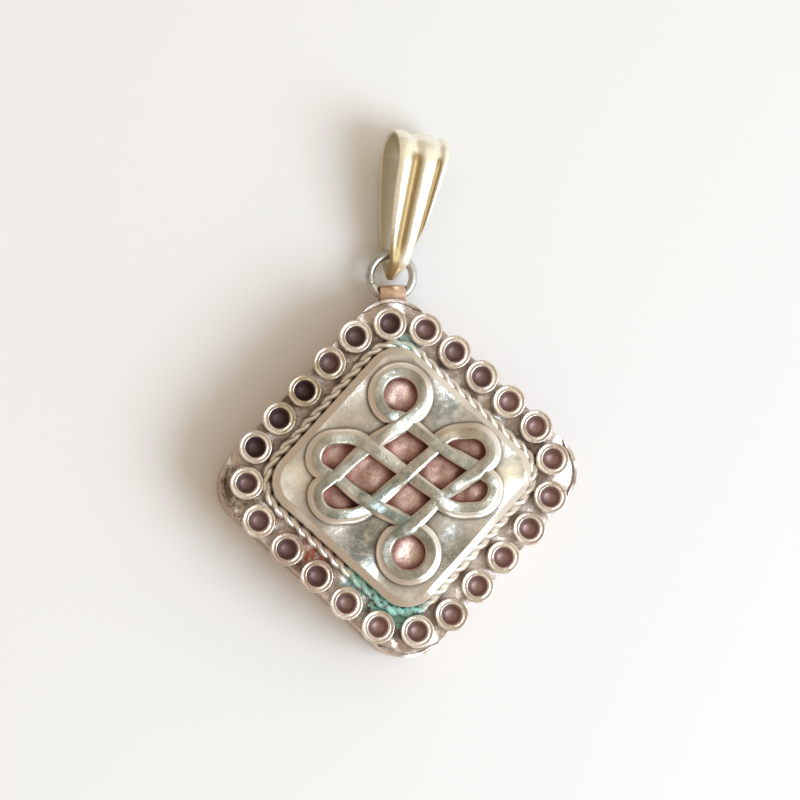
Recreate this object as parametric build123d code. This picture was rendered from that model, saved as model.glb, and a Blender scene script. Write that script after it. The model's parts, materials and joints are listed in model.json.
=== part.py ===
from build123d import *
import os
from math import asin, atan2, cos, degrees, floor, pi, radians, sin, sqrt, tan

# Ghau amulet box, a pendant that lies on its back, in millimetres
# Origin: middle of the back face. +Z is the front, +Y points to the bail

# Endless knot
knot_half_width = 6.95
knot_half_height = 5.2
strand_flat = 1.15
strand_bevel = 0.26
strand_height = 0.7
skirt_width = 0.3
skirt_height = 0.3
end_loop_rise = 2.65
side_loop_overhang = 1.7
side_loop_top = 3.6
side_corner_share = 0.97
side_heel_hollow = 0.15
knot_shift_x = 0.15
knot_shift_y = 0.3
weave_groove = 0.24

# Raised box that carries the knot
face_margin = 0.02
face_bevel_width = 0.7
face_bevel_height = 0.5
face_foot = 0.4
face_skin = 0.4
face_frame = 0.75
cutout_inset = 0.3
backing_thickness = 0.4
raised_wall_height = 2.5
raised_wall_thickness = 0.6
raised_corner_radius = 3.2

# Wire border and the row of tube settings
rope_diameter = 0.75
rope_side_count = 8
rope_clearance = 0.04
tube_diameter = 3.35
tube_bore = 1.9
tube_side_count = 16
tube_height = 1.75
tube_outer_bevel = 0.2
tube_rim_slope = 45.0
tube_funnel_width = 0.28
tube_funnel_depth = 0.45
tube_spacing = 0.3
row_clearance = 0.42
track_corner_radius = 7.0
tube_drift_top = 0.35
tube_drift_right = 1.15
tube_drift_bottom = 0.85
tube_drift_left = -0.15

# Case and lid
tube_overhang = 0.68
lip_clearance = 0.1
lip_thickness = 0.35
lip_height = 0.3
case_corner_radius = 4.2
case_wall_thickness = 0.9
case_wall_height = 5.0
front_plate_thickness = 0.6
solder_gap = 0.03
lid_thickness = 0.6
collar_height = 2.4
collar_thickness = 0.5
lid_clearance = 0.12

# Hanging loop and jump ring
loop_side_shift = 0.6
loop_width = 2.6
loop_bore_radius = 0.95
loop_strip = 0.35
loop_stand_off = 0.45
loop_level = 2.25
ring_wire = 0.9
ring_side_count = 12
ring_outer_diameter = 5.3
ring_slit = 3.0
ring_slit_place = 200.0

# Fluted bail
bail_length = 15.3
bail_top_radius = 3.1
bail_strip = 0.65
bail_eye_radius = 1.22
bail_tip_to_eye = 2.6
bail_tip_radius = 0.35
bail_tip_width = 1.0
bail_middle_width = 4.1
bail_top_width = 5.5
flute_radius = 1.0
flute_side_count = 12
flute_depth = 0.3
flute_left_tip = -0.15
flute_left_top = -0.95
flute_right_tip = 1.35
flute_right_top = 1.7
bail_lean = 13.5
bail_roll = 15.0
bail_floor_gap = 0.03


def diamond(side, radius):
    """Rounded square standing on its corner."""
    return Rot(0, 0, 45) * RectangleRounded(side, side, radius)


def slab(half, radius, low, high):
    """Plate over a diamond outline between two levels."""
    return extrude(Pos(0, 0, low) * diamond(2 * half, radius), amount=high - low)


def band(half, radius, thickness, low, high):
    """Wall that follows a diamond outline."""
    inside = slab(half - thickness, radius - thickness, low, high)
    return slab(half, radius, low, high) - inside


def corner_reach(half, radius):
    """Distance from the middle to the rounded corner of a diamond."""
    return (half - radius) * sqrt(2) + radius


def turned(angle, length):
    """Point at a plan angle and a distance."""
    return (length * cos(radians(angle)), length * sin(radians(angle)))


# Centre line of the knot: six straight strands and six loops
strand_width = strand_flat + 2 * strand_bevel
strand_angle = atan2(knot_half_height, knot_half_width)
strand_slope = tan(strand_angle)
end_loop_radius = end_loop_rise * cos(strand_angle)
end_loop_y = knot_half_height + end_loop_rise
end_touch = (end_loop_radius * sin(strand_angle), end_loop_y - end_loop_radius * cos(strand_angle))

# Each side loop rises past the last crossing, runs out level, drops and turns back in
side_loop_reach = knot_half_width + side_loop_overhang
side_loop_rise = (side_loop_top - knot_half_height / 2) / sin(strand_angle)
side_loop_drop = side_loop_top - strand_slope * side_loop_overhang
side_loop_heel = strand_width / 2 + side_heel_hollow
side_heel_run = side_loop_heel * tan((pi / 2 - strand_angle) / 2)
side_loop_corner = side_corner_share * (side_loop_drop - side_heel_run)
side_loop_level = side_loop_reach - side_loop_top / strand_slope - side_loop_corner
side_shoulder_run = side_loop_rise * side_loop_level / (side_loop_rise + side_loop_level)
side_loop_shoulder = side_shoulder_run / tan(strand_angle / 2)
side_corners = (
    (-knot_half_width / 2, knot_half_height / 2),
    (-side_loop_top / strand_slope, side_loop_top),
    (-side_loop_reach, side_loop_top),
    (-side_loop_reach, strand_slope * side_loop_overhang),
    (-knot_half_width, 0),
)
side_radii = (side_loop_shoulder, side_loop_corner, side_loop_heel)


def knot_paths():
    """Strands and loops of the knot, mirrored from one of each kind."""
    paths = []
    for x in (1, -1):
        half = (x * knot_half_width / 2, knot_half_height / 2)
        paths.append(Line((-half[0], -half[1]), half))
        for y in (1, -1):
            paths.append(Line((-x * knot_half_width, 0), (x * end_touch[0], y * end_touch[1])))
            corners = [(x * px, y * py) for px, py in side_corners]
            paths.append(FilletPolyline(*corners, radius=side_radii))
    for y in (1, -1):
        start = y * degrees(strand_angle) - y * 90
        sweep_angle = y * (180 + 2 * (90 - degrees(strand_angle)))
        paths.append(CenterArc((0, y * end_loop_y), end_loop_radius, start, sweep_angle))
    return paths


def strands(width):
    """The knot drawn with a pen of one width."""
    drawn = Sketch()
    for path in knot_paths():
        drawn += trace(path, width)
    return drawn


def outline(drawn):
    """Outer outline of the knot, filled."""
    return Sketch() + Face(drawn.faces()[0].outer_wire())


knot_sketch = strands(strand_width)
knot_holes = outline(knot_sketch) - knot_sketch

# The face of the box is sized to the knot that it carries
corner_middle = side_loop_reach + side_loop_top - 2 * side_loop_corner
knot_corner = corner_middle + (side_loop_corner + strand_width / 2 + skirt_width) * sqrt(2)
face_half = (knot_corner + knot_shift_x + knot_shift_y) / sqrt(2) + face_margin
raised_half = face_half + face_bevel_width
rope_half = raised_half + rope_clearance + rope_diameter / 2
track_half = rope_half + rope_diameter / 2 + row_clearance + tube_diameter / 2
case_half = track_half + tube_diameter / 2 - tube_overhang

# Levels from the floor up
lid_top = lid_thickness
ledge_level = lid_top + case_wall_height
plate_top = ledge_level + front_plate_thickness
lip_top = plate_top + lip_height
raised_top = plate_top + raised_wall_height
face_top = raised_top + face_foot + face_bevel_height
skin_low = face_top - face_skin
knot_place = Pos(knot_shift_x, knot_shift_y, face_top)


def make_knot():
    """Pierced knot: a low skirt, bevelled strands and a groove beside each upper strand."""
    wide = outline(strands(strand_width + 2 * skirt_width)) - knot_holes
    skirt = extrude(wide, amount=skirt_height)
    body = extrude(knot_sketch, amount=strand_height)
    top = body.faces().sort_by(Axis.Z)[-1]
    body = chamfer(top.edges(), strand_bevel)
    knot = skirt + body
    groove = make_face(
        Polyline(
            (-weave_groove, strand_height),
            (weave_groove, strand_height),
            (0, strand_height - weave_groove),
            close=True,
        )
    )
    length = strand_width / sin(2 * strand_angle)
    half_groove = Rot(90, 0, 0) * groove
    for row in (-1, 0, 1):
        for column in (-1, 0, 1):
            x = (row + column) * knot_half_width / 2
            y = (column - row) * knot_half_height / 2
            rising = (row + column) % 2 == 0
            turn = degrees(strand_angle) if rising else -degrees(strand_angle)
            for side in (-1, 1):
                run = extrude(half_groove, amount=length / 2, both=True)
                at = Pos(x, y) * Rot(0, 0, turn - 90) * Pos(side * strand_width / 2, 0)
                slide = side * strand_width / 2 / tan(2 * strand_angle)
                lean = slide if rising else -slide
                knot -= at * Pos(0, lean) * run
    return knot_place * knot


def make_face_plate():
    """Bevelled plate, hollow behind its skin and cut out under the knot."""
    foot = slab(raised_half, raised_corner_radius, raised_top, raised_top + face_foot)
    low = Pos(0, 0, raised_top + face_foot) * diamond(2 * raised_half, raised_corner_radius)
    high_radius = raised_corner_radius - face_bevel_width
    high = Pos(0, 0, face_top) * diamond(2 * face_half, high_radius)
    plate = foot + loft([low, high], ruled=True)
    pocket_half = raised_half - face_frame
    pocket = slab(pocket_half, raised_corner_radius - face_frame, raised_top, skin_low)
    cutout = outline(strands(strand_width - 2 * cutout_inset))
    return plate - pocket - knot_place * extrude(cutout, amount=-face_skin)


def make_tube():
    """Thick-walled tube with a bevelled rim and a funnelled mouth."""
    outer = RegularPolygon(tube_diameter / 2, tube_side_count)
    inner = RegularPolygon(tube_bore / 2, tube_side_count)
    mouth = RegularPolygon(tube_bore / 2 + tube_funnel_width, tube_side_count)
    straight = tube_height - tube_outer_bevel
    funnel_slope = degrees(atan2(tube_funnel_width, tube_funnel_depth))
    tube = extrude(outer, amount=straight)
    tube += extrude(Pos(0, 0, straight) * outer, amount=tube_outer_bevel, taper=tube_rim_slope)
    tube -= extrude(inner, amount=tube_height)
    return tube - extrude(Pos(0, 0, tube_height) * mouth, amount=-tube_funnel_depth, taper=funnel_slope)


def track_point(run):
    """Point on the track of the settings, run clockwise from the top corner."""
    flat = 2 * (track_half - track_corner_radius)
    arc = track_corner_radius * pi / 2
    quarter, rest = divmod(run + arc / 2, flat + arc)
    middle = (track_half - track_corner_radius) * sqrt(2)
    if rest < arc:
        swing = 135 - 90 * rest / arc
        place = turned(swing, track_corner_radius)
        point = (place[0], middle + place[1])
    else:
        start = turned(45, track_corner_radius)
        step = turned(-45, rest - arc)
        point = (start[0] + step[0], middle + start[1] + step[1])
    spin = radians(-90 * quarter)
    x = point[0] * cos(spin) - point[1] * sin(spin)
    y = point[0] * sin(spin) + point[1] * cos(spin)
    return (x, y)


def tube_places():
    """Centres of the settings; each corner has drifted a little in the hand-made row."""
    side_run = 2 * (track_half - track_corner_radius) + track_corner_radius * pi / 2
    per_side = floor(side_run / (tube_diameter + tube_spacing))
    drifts = (tube_drift_top, tube_drift_right, tube_drift_bottom, tube_drift_left, tube_drift_top)
    places = []
    for side in range(4):
        for step in range(per_side):
            share = step / per_side
            drift = drifts[side] + (drifts[side + 1] - drifts[side]) * share
            places.append(track_point((side + share) * side_run - drift))
    return places


# Hanging loop, jump ring and bail follow one chain of places
case_reach = corner_reach(case_half, case_corner_radius)
ring_radius = (ring_outer_diameter - ring_wire) / 2
bore_y = case_reach + loop_stand_off
eye_outer = bail_eye_radius + bail_strip
roll = radians(bail_roll)
top_centre = bail_length - bail_top_radius
eye_level = eye_outer * cos(roll) + bail_middle_width / 2 * sin(roll) + bail_floor_gap
top_level = bail_top_radius * cos(roll) + bail_top_width / 2 * sin(roll) + bail_floor_gap
bail_pitch = degrees(asin((top_level - eye_level) / (top_centre - bail_tip_to_eye)))
ring_tilt = -degrees(asin((loop_level - eye_level) / (ring_radius * (1 + cos(radians(bail_lean))))))


def make_hanging_loop():
    """Strip bent round the ring, both ends soldered to the corner of the case."""
    out = loop_bore_radius + loop_strip
    reach_in = loop_stand_off + case_corner_radius - sqrt(case_corner_radius**2 - loop_width**2)
    legs = Rectangle(reach_in, 2 * out, align=(Align.MAX, Align.CENTER))
    gap = Rectangle(reach_in, 2 * loop_bore_radius, align=(Align.MAX, Align.CENTER))
    section = legs + Circle(out) - gap - Circle(loop_bore_radius)
    strip = extrude(Plane.YZ * section, amount=loop_width / 2, both=True)
    placed = Pos(loop_side_shift, bore_y, loop_level) * strip
    case = slab(case_half + solder_gap, case_corner_radius + solder_gap, 0, lip_top)
    return placed - case


def make_jump_ring():
    """Round wire bent to a ring with a fine slit where its ends meet."""
    wire = Plane.XZ * Pos(ring_radius, 0) * RegularPolygon(ring_wire / 2, ring_side_count)
    ring = Rot(0, 0, ring_slit_place) * revolve(wire, Axis.Z, 360 - ring_slit)
    return Pos(loop_side_shift, bore_y, loop_level) * Rot(ring_tilt, 0, 0) * Pos(0, ring_radius) * ring


def touch_points(low_place, low_radius, high_place, high_radius):
    """Ends of the straight side that touches two circles on the long axis of the bail."""
    slope = asin((high_radius - low_radius) / (high_place - low_place))
    low = (low_radius * cos(slope), low_place - low_radius * sin(slope))
    high = (high_radius * cos(slope), high_place - high_radius * sin(slope))
    return low, high


def drop(low_place, low_radius, high_place, high_radius):
    """Two circles on the long axis of the bail and the straight sides that touch both."""
    low, high = touch_points(low_place, low_radius, high_place, high_radius)
    right = Line(low, high)
    over = ThreePointArc(high, (0, high_place + high_radius), (-high[0], high[1]))
    left = Line((-high[0], high[1]), (-low[0], low[1]))
    under = ThreePointArc((-low[0], low[1]), (0, low_place - low_radius), low)
    return make_face([right, over, left, under])


def flute_cutter(tip_place, top_place):
    """Rod bent over the bail that hollows one flute and fades out at the eye."""
    high = bail_top_radius + flute_radius - flute_depth
    foot, top = touch_points(bail_tip_to_eye, eye_outer + flute_radius, top_centre, high)
    path = Wire(
        [
            Line(foot, top).edge(),
            ThreePointArc(top, (0, top_centre + high), (-top[0], top[1])).edge(),
            Line((-top[0], top[1]), (-foot[0], foot[1])).edge(),
        ]
    )
    start = Plane(path @ 0, z_dir=path % 0)
    rod = sweep(start * RegularPolygon(flute_radius, flute_side_count), path)
    swing = degrees(atan2(top_place - tip_place, bail_length))
    upright = Plane.YZ * Rot(0, 0, -90) * rod
    return Pos(tip_place, 0, 0) * Rot(0, 0, -swing) * upright


def make_bail():
    """Leaf strip folded into a drop, its tips joined, with two flutes along it."""
    body = drop(bail_tip_to_eye, eye_outer, top_centre, bail_top_radius)
    tip = drop(bail_tip_radius, bail_tip_radius, bail_tip_to_eye, eye_outer)
    slot = drop(bail_tip_to_eye, bail_eye_radius, top_centre, bail_top_radius - bail_strip)
    section = Plane.YZ * Rot(0, 0, -90) * (Sketch() + body + tip - slot)
    folded = extrude(section, amount=bail_top_width / 2, both=True)
    tip_half = bail_tip_width / 2
    top_half = bail_top_width / 2
    middle = (bail_middle_width / 2, bail_length / 2)
    leaf = make_face(
        [
            Line((-tip_half, 0), (tip_half, 0)),
            ThreePointArc((tip_half, 0), middle, (top_half, bail_length)),
            Line((top_half, bail_length), (-top_half, bail_length)),
            ThreePointArc((-top_half, bail_length), (-middle[0], middle[1]), (-tip_half, 0)),
        ]
    )
    bail = folded & extrude(leaf, amount=bail_top_radius, both=True)
    bail -= flute_cutter(flute_left_tip, flute_left_top)
    return bail - flute_cutter(flute_right_tip, flute_right_top)


ring_middle = (
    loop_side_shift,
    bore_y + ring_radius * cos(radians(ring_tilt)),
    loop_level + ring_radius * sin(radians(ring_tilt)),
)
lean = radians(bail_lean)
eye = (
    ring_middle[0] + ring_radius * sin(lean),
    ring_middle[1] + ring_radius * cos(lean) * cos(radians(ring_tilt)),
    ring_middle[2] + ring_radius * cos(lean) * sin(radians(ring_tilt)),
)
bail_place = Pos(*eye) * Rot(0, 0, -bail_lean) * Rot(bail_pitch, 0, 0) * Rot(0, bail_roll, 0)

pieces = {}

# Lid: back plate with the collar that slips into the case
collar_half = case_half - case_wall_thickness - lid_clearance
collar_radius = case_corner_radius - case_wall_thickness - lid_clearance
pieces["lid_plate"] = slab(case_half, case_corner_radius, 0, lid_top)
pieces["lid_collar"] = band(
    collar_half, collar_radius, collar_thickness, lid_top, lid_top + collar_height
)

# Case: wall, and the front plate with a low lip at each corner outside the settings
pieces["case_wall"] = band(
    case_half, case_corner_radius, case_wall_thickness, lid_top, ledge_level
)
front = slab(case_half, case_corner_radius, ledge_level, plate_top)
well_half = raised_half - raised_wall_thickness
well_radius = raised_corner_radius - raised_wall_thickness
front -= slab(well_half, well_radius, ledge_level, plate_top)
row_reach = tube_diameter / 2 + lip_clearance
lip = band(case_half, case_corner_radius, lip_thickness, plate_top, lip_top)
lip -= slab(track_half + row_reach, track_corner_radius + row_reach, plate_top, lip_top)
pieces["front_plate"] = front + lip

# Raised box with its ground and its knot
pieces["raised_wall"] = band(
    raised_half, raised_corner_radius, raised_wall_thickness, plate_top, raised_top
)
pieces["face_plate"] = make_face_plate()
backing_half = raised_half - face_frame - solder_gap
backing_radius = raised_corner_radius - face_frame - solder_gap
pieces["backing_plate"] = slab(
    backing_half, backing_radius, skin_low - backing_thickness, skin_low
)
pieces["endless_knot"] = make_knot()

# Wire border round the foot of the raised box
rope_radius = raised_corner_radius + rope_clearance + rope_diameter / 2
rope_path = diamond(2 * rope_half, rope_radius).face().outer_wire()
rope_start = Plane(rope_path @ 0, z_dir=rope_path % 0)
rope_section = rope_start * RegularPolygon(rope_diameter / 2, rope_side_count)
rope_level = plate_top + rope_diameter / 2 + solder_gap
pieces["rope_border"] = Pos(0, 0, rope_level) * sweep(rope_section, rope_path)

# Row of tube settings
tube = make_tube()
places = tube_places()
for number, place in enumerate(places, 1):
    pieces[f"tube_setting_{number:02d}"] = Pos(place[0], place[1], plate_top) * tube

# Hanging parts
pieces["hanging_loop"] = make_hanging_loop()
pieces["jump_ring"] = make_jump_ring()
pieces["bail"] = bail_place * Pos(0, -bail_tip_to_eye, 0) * make_bail()

os.makedirs("parts", exist_ok=True)
for name, piece in pieces.items():
    export_step(piece, f"parts/{name}.step")

gaps = []
for number, place in enumerate(places):
    following = places[(number + 1) % len(places)]
    apart = sqrt((place[0] - following[0]) ** 2 + (place[1] - following[1]) ** 2)
    gaps.append(apart - tube_diameter)
print("case half side", round(case_half, 3), "corner reach", round(case_reach, 3))
print("raised half side", round(raised_half, 3), "track half side", round(track_half, 3))
print("settings", len(places), "least gap", round(min(gaps), 3))
print("loop bore", loop_side_shift, round(bore_y, 4), loop_level, "ring tilt", round(ring_tilt, 3))
hinge = (
    cos(lean),
    -sin(lean) * cos(radians(ring_tilt)),
    -sin(lean) * sin(radians(ring_tilt)),
)
print("bail eye", [round(v, 4) for v in eye], "pitch", round(bail_pitch, 3))
print("bail hinge line", [round(v, 5) for v in hinge])
print("levels", round(plate_top, 3), round(face_top, 3), round(face_top + strand_height, 3))
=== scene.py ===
# %% [markdown]
# # A ghau amulet box
# A ghau is a small box worn as a pendant. This one has a raised square face with an
# endless knot, a twisted wire round the foot of that face, a row of empty tube settings,
# and a fluted bail on a jump ring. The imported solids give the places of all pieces; this
# script dresses them with finer surfaces, worn metal and the light of the photograph.

# %% Load the frame
import json

import bpy
import numpy as np
from mathutils import Matrix, Vector


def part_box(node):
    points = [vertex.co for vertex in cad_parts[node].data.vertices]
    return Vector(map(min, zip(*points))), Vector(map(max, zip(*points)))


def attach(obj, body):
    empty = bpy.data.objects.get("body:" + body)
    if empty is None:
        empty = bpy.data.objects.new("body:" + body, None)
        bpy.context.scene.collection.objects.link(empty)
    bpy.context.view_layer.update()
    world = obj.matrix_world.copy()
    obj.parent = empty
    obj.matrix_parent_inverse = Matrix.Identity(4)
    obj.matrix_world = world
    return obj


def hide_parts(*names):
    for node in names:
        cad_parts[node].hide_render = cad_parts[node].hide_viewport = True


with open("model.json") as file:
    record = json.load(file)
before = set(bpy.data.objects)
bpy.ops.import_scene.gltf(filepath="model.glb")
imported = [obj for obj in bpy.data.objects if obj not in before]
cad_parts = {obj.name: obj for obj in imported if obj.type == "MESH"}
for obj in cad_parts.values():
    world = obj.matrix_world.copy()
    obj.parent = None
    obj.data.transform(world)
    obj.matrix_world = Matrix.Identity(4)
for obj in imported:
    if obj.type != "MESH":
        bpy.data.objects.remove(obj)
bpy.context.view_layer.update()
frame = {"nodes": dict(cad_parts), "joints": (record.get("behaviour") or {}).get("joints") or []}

MM = 0.001
scene = bpy.context.scene
scene.view_settings.view_transform = "Standard"
joints = {joint["name"]: joint for joint in frame["joints"]}

# %% [markdown]
# ## Camera
# The photograph was taken from almost straight above, a little from the left and from
# below, and the pendant lies turned by about three degrees. A long lens far away keeps
# the square face square, as a phone does when it is held back from a small thing. Ten
# pixels of the photograph are one millimetre, so the frame is eighty millimetres wide.

# %% Place the camera
DISTANCE = 350 * MM
FRAME_WIDTH = 80 * MM
SENSOR_WIDTH = 36.0
FROM_LEFT, FROM_BELOW, PENDANT_TURN = np.radians((6.0, 3.0, 2.9))
aim = Vector((0.25, 7.74, 8.0)) * MM
towards_camera = Vector((-np.tan(FROM_LEFT), -np.tan(FROM_BELOW), 1.0)).normalized()
picture_up = Vector((np.sin(PENDANT_TURN), np.cos(PENDANT_TURN), 0.0))

camera_data = bpy.data.cameras.new("camera")
camera_data.sensor_width = SENSOR_WIDTH
camera_data.lens = SENSOR_WIDTH * DISTANCE / FRAME_WIDTH
camera_data.clip_start = 10 * MM
camera = bpy.data.objects.new("camera", camera_data)
side_axis = picture_up.cross(towards_camera).normalized()
up_axis = towards_camera.cross(side_axis)
turn = Matrix((side_axis, up_axis, towards_camera)).transposed()
camera.matrix_world = Matrix.Translation(aim + DISTANCE * towards_camera) @ turn.to_4x4()
scene.collection.objects.link(camera)
scene.camera = camera
print("lens", round(camera_data.lens, 1), "mm")

# %% [markdown]
# ## Light
# Window light comes from the right and somewhat from below, about halfway up the sky, and
# is soft, so the shadow to the left has a wide edge. The rest is light from the room, warm
# on the shadow side. A round area lamp stands for the window, and a world whose colour
# changes with direction stands for the room. Together they light a level surface so that a
# colour looks about as it is written, and the pale floor then comes out nearly white.

# %% Colours as written
def linear(code):
    """Linear colour of an sRGB hex code: below 0.04045 it is the value over 12.92, above it
    the power 2.4 of the value plus 0.055, over 1.055."""
    srgb = np.array([int(code[n:n + 2], 16) for n in (1, 3, 5)]) / 255.0
    channels = np.where(srgb <= 0.04045, srgb / 12.92, ((srgb + 0.055) / 1.055) ** 2.4)
    return (*channels.tolist(), 1.0)


def add(tree, kind, inputs=None, stops=(), **settings):
    """One node with its settings. An input is either a value or the socket that feeds it, and
    the stops are the places and colours of a ramp."""
    made = tree.nodes.new(kind)
    for name, value in settings.items():
        setattr(made, name, value)
    for name, value in (inputs or {}).items():
        if isinstance(value, bpy.types.NodeSocket):
            tree.links.new(value, made.inputs[name])
        else:
            made.inputs[name].default_value = value
    while stops and len(made.color_ramp.elements) < len(stops):
        made.color_ramp.elements.new(0.5)
    for number, (place, color) in enumerate(stops):
        made.color_ramp.elements[number].position = place
        made.color_ramp.elements[number].color = color
    return made


print("white", linear("#ffffff"))

# %% Window lamp
WINDOW_DISTANCE = 500 * MM
WINDOW_WIDTH = 320 * MM
to_window = Vector((1.08, -0.60, 1.2)).normalized()
lamp_data = bpy.data.lights.new("window", "AREA")
lamp_data.shape = "DISK"
lamp_data.size = WINDOW_WIDTH
# Watts; with the room's light, white card then comes out just below white
lamp_data.energy = 1.86
# Daylight, which looks bluish against the warm room
lamp_data.color = (0.72, 0.855, 1.0)
lamp = bpy.data.objects.new("window", lamp_data)
lamp.location = WINDOW_DISTANCE * to_window
lamp.rotation_euler = to_window.to_track_quat("Z", "Y").to_euler()
scene.collection.objects.link(lamp)
print("lamp", [round(v, 3) for v in lamp.location])

# %% Walls of the room
to_bright_wall = tuple(Vector((0.9, -0.05, 0.45)).normalized())
room = bpy.data.worlds.new("room")
room.use_nodes = True
scene.world = room
tree = room.node_tree
tree.nodes.clear()
direction = add(tree, "ShaderNodeTexCoord")
facing = add(
    tree,
    "ShaderNodeVectorMath",
    {0: direction.outputs["Generated"], 1: to_bright_wall},
    operation="DOT_PRODUCT",
)
share = add(tree, "ShaderNodeMapRange", {"Value": facing.outputs["Value"], "From Min": -1.0})
walls = add(
    tree,
    "ShaderNodeValToRGB",
    {"Fac": share.outputs["Result"]},
    # From the wall away from the window to the bright one
    stops=[
        (0.0, linear("#c9b59e")),
        (0.45, linear("#b9a894")),
        (0.72, linear("#cdc1af")),
        (0.88, linear("#fffaf0")),
    ],
)
room_light = add(tree, "ShaderNodeBackground", {"Color": walls.outputs["Color"], "Strength": 1.06})
add(tree, "ShaderNodeOutputWorld", {"Surface": room_light.outputs[0]})
print("wall colours", len(walls.color_ramp.elements))

# %% [markdown]
# ## Floor
# The pendant lies on plain white card. The floor is one matt sheet just under the back
# lid; its near-white colour makes the background, and it keeps the soft shadow. A backdrop
# that curves up behind is not needed, because the picture looks straight down.

# %% Material and mesh helpers
def new_material(name):
    """Empty node material with one principled shader joined to its output."""
    material = bpy.data.materials.new(name)
    material.use_nodes = True
    tree = material.node_tree
    tree.nodes.clear()
    shader = add(tree, "ShaderNodeBsdfPrincipled")
    add(tree, "ShaderNodeOutputMaterial", {"Surface": shader.outputs[0]})
    return material, tree, shader


def mesh_object(name, points, faces, material=None):
    """Mesh object with its place in its points, linked to the scene."""
    mesh = bpy.data.meshes.new(name)
    mesh.from_pydata(points.tolist(), [], faces)
    mesh.update()
    made = bpy.data.objects.new(name, mesh)
    scene.collection.objects.link(made)
    if material:
        mesh.materials.append(material)
    return made


print("helpers for materials and meshes ready")

# %% Floor
FLOOR_REACH, FLOOR_DROP = 900 * MM, 0.05 * MM
# White card is pressed paper: evenly white and matt, with no highlight
card, tree, shader = new_material("white_card")
shader.inputs["Base Color"].default_value = linear("#efefef")
shader.inputs["Roughness"].default_value = 0.9
shader.inputs["Specular IOR Level"].default_value = 0.1
corners = np.array([(-1, -1, 0), (1, -1, 0), (1, 1, 0), (-1, 1, 0)]) * FLOOR_REACH
corners[:, 2] = -FLOOR_DROP
floor = mesh_object("floor", corners, [(0, 1, 2, 3)], card)
print("floor", round(2 * FLOOR_REACH, 2), "m wide")

# %% [markdown]
# ## Surfaces from grids
# The fine pieces could be pushed into shape by hand, but a formula keeps them to the size
# in millimetres and gives the same mesh at every run. So every new piece is a grid of
# points with two parameters. One helper turns such a grid into a mesh: it joins
# neighbouring points into four-sided faces, closes the columns and, where asked, the rows,
# caps open ends, and turns the faces outwards by the sign of the enclosed volume.

# %% Grid helper
def surface(name, grid, closed_rows=False, caps=False, masks=None):
    """Smooth mesh over a grid of points in millimetres. The volume is a sixth of the sum of
    each face's corner products, and a negative sum turns all faces round."""
    rows, columns = grid.shape[:2]
    points = grid.reshape(-1, 3)
    index = np.arange(rows * columns).reshape(rows, columns)
    if closed_rows:
        index = np.vstack([index, index[:1]])
    index = np.hstack([index, index[:, :1]])
    quads = np.stack([index[:-1, :-1], index[1:, :-1], index[1:, 1:], index[:-1, 1:]], -1)
    quads = quads.reshape(-1, 4)
    a, b, c, d = (points[quads[:, n]] for n in range(4))
    volume = (a * np.cross(b, c)).sum() + (a * np.cross(c, d)).sum()
    if volume < 0:
        quads = quads[:, ::-1]
    faces = quads.tolist()
    if caps:
        first = np.arange(columns)
        last = first + (rows - 1) * columns
        ends = (first[::-1], last) if volume < 0 else (first, last[::-1])
        faces += [end.tolist() for end in ends]
    made = mesh_object(name, points * MM, faces)
    made.data.shade_smooth()
    for mask, values in (masks or {}).items():
        layer = made.data.attributes.new(mask, "FLOAT", "POINT")
        layer.data.foreach_set("value", np.ascontiguousarray(values, dtype=np.float32).ravel())
    return made


def dress(piece, body, node, material):
    """Joins a finished piece to its body, its solid and its material."""
    piece.data.materials.append(material)
    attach(piece, body)
    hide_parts(node)


print("grid helper ready")

# %% [markdown]
# ## Metal finishes
# All the metals share one recipe: a base colour that drifts between two tones, dirt that
# gathers in cloudy patches, fine scratches that run two ways, and bumps from these. A
# painted picture could be wrapped round each piece instead, but noise that reads object
# coordinates needs no unwrapping and has no seams. These coordinates are metres here, so a
# scale is one over the size of the mark. The scratches are drawn coarser than the real
# ones so that they show.
# Stains such as verdigris lie over the metal where the photograph has them. Each is a mask
# and a colour; the mask comes from a place, from the piece's own points, from corners that
# shut out the light, or from the slope of the surface. Some marks are painted light: darker
# colour in corners, in flutes and on the left, away from the lamp, is painted shade, and paler
# colour on bevels and on patches of the face and knot is painted sheen.

# %% Masks of the stains
STAIN_LEVEL, STAIN_FADE = 0.66, -0.30


def per_mm(size):
    """Texture scale of a mark of this size in millimetres."""
    return 1.0 / (size * MM)


def near(point, inner, outer, grain, edge=0.30, fill=0.40):
    """Recipe of a mark about a point in millimetres, for stains and for patches of painted shade
    and painted sheen: full inside one radius, gone outside the other, and broken up by a grain
    of this size, with a soft or a crisp edge. The fill is how much of the middle it covers: at
    0.16, the noise alone decides."""
    def mask(tree, place):
        spot = tuple(MM * value for value in point)
        far = add(tree, "ShaderNodeVectorMath", {0: place, 1: spot}, operation="DISTANCE")
        span = {"From Min": inner * MM, "From Max": outer * MM, "To Min": fill, "To Max": STAIN_FADE}
        fall = add(tree, "ShaderNodeMapRange", {"Value": far.outputs["Value"], **span}).outputs[0]
        specks = add(
            tree,
            "ShaderNodeTexNoise",
            {"Vector": place, "Scale": per_mm(grain), "Detail": 5.0, "Roughness": 0.7},
        ).outputs["Fac"]
        total = add(tree, "ShaderNodeMath", {0: fall, 1: specks}, operation="ADD").outputs[0]
        rim = {"From Min": STAIN_LEVEL, "From Max": STAIN_LEVEL + edge}
        return add(tree, "ShaderNodeMapRange", {"Value": total, **rim}).outputs[0]
    return mask


def painted(name, start, stop):
    """Recipe of a stain from a mask painted on the piece's own points."""
    def mask(tree, place):
        layer = add(tree, "ShaderNodeAttribute", attribute_name=name).outputs["Fac"]
        span = {"From Min": start, "From Max": stop}
        return add(tree, "ShaderNodeMapRange", {"Value": layer, **span}).outputs[0]
    return mask


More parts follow.
